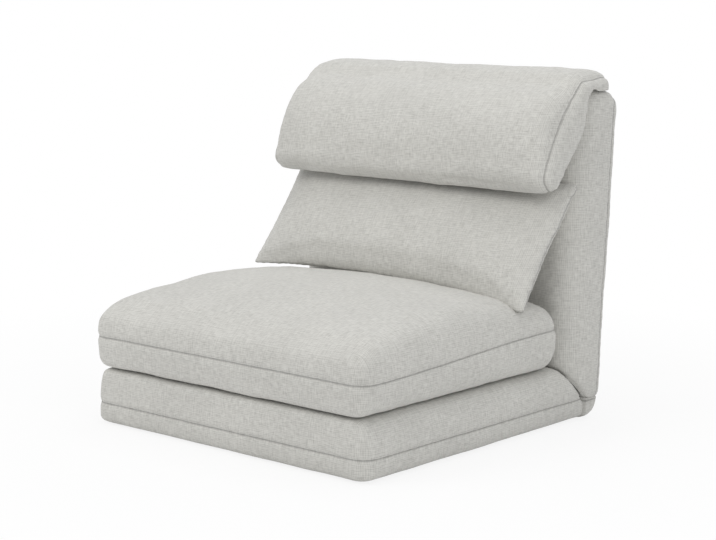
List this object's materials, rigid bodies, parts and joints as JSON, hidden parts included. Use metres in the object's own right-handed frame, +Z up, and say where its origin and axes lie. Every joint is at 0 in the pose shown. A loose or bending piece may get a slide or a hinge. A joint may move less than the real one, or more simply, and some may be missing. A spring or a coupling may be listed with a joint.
{
  "type": "convertible chair bed",
  "caption": "Low upholstered chair that unfolds to a single bed: a base and a seat cushion joined at the front, a ratchet-hinged back, a fold-over headrest and a loose lumbar pillow.",
  "frame": {"origin": "on the floor in the middle of the width, where the bottom of the base rests, 358 mm behind the front fold and 307 mm ahead of the back hinge", "axes": "+X to the sitter's left as they face the chair's front, which is to the right in a view from the front; +Y to the rear of the chair; +Z up"},
  "size_m": [0.76, 0.7825, 0.7238],
  "materials": {
    "cover_fabric": "woven slubby basket cloth, warm light grey",
    "foam": "cut polyurethane foam, open cells",
    "polyester_filling": "loose fibre filling in a bag",
    "fold_cloth": "plain woven lining cloth",
    "grip_cloth": "dotted non slip cloth",
    "frame_paint": "satin powder coat",
    "hinge_steel": "zinc plated pressed steel"
  },
  "bodies": {
    "base": {"base_cover": "cover_fabric", "base_foam": "foam", "base_front_roll": "cover_fabric", "corner_roll": "foam", "grip_cloth": "grip_cloth", "fold_strip": "fold_cloth", "valley_pleat": "cover_fabric", "gussets": "cover_fabric", "base_frame_tube": "frame_paint", "base_cross_tube": "frame_paint", "hinge_plates": "hinge_steel", "hinge_keepers": "hinge_steel", "pivot_rivets": "hinge_steel", "pawl_pins": "hinge_steel", "pawl_springs": "hinge_steel"},
    "seat": {"seat_cover": "cover_fabric", "seat_foam": "foam", "seat_front_roll": "cover_fabric"},
    "back": {"back_cover": "cover_fabric", "back_foam": "foam", "back_frame_tube": "frame_paint", "back_cross_tube_lower": "frame_paint", "back_cross_tube_upper": "frame_paint", "ratchet_arms": "hinge_steel", "headrest_flap": "fold_cloth"},
    "headrest": {"headrest_cover": "cover_fabric", "headrest_filling": "polyester_filling"},
    "pillow": {"pillow_cover": "cover_fabric", "pillow_filling": "polyester_filling"},
    "pawl_right": {"pawl_right": "hinge_steel"},
    "pawl_left": {"pawl_left": "hinge_steel"}
  },
  "joints": [
    {"name": "back_recline", "type": "hinge", "parent": "base", "child": "back", "pos_m": [0, 0.307, 0.045], "axis": [1, 0, 0], "range_deg": [-85.8, 0], "deforming": ["valley_pleat", "gussets"]},
    {"name": "seat_unfold", "type": "hinge", "parent": "base", "child": "seat", "pos_m": [0, -0.358, 0.1188], "axis": [1, 0, 0], "range_deg": [0, 180], "deforming": ["base_front_roll", "seat_front_roll", "pillow_cover", "pillow_filling"]},
    {"name": "headrest_flip", "type": "hinge", "parent": "back", "child": "headrest", "pos_m": [0, 0.37986, 0.70945], "axis": [1, 0, 0], "range_deg": [-99, 0]},
    {"name": "pillow_slide", "type": "slide", "parent": "back", "child": "pillow", "axis": [1, 0, 0], "range_m": [-0.19, 0.19]},
    {"name": "pawl_left", "type": "hinge", "parent": "base", "child": "pawl_left", "pos_m": [0, 0.269, 0.019], "axis": [1, 0, 0], "range_deg": [-14, 0]},
    {"name": "pawl_right", "type": "hinge", "parent": "base", "child": "pawl_right", "pos_m": [0, 0.269, 0.019], "axis": [1, 0, 0], "range_deg": [-14, 0]}
  ],
  "couplings": [
    {"joint": "pawl_right", "follows": "pawl_left", "ratio": 1}
  ]
}
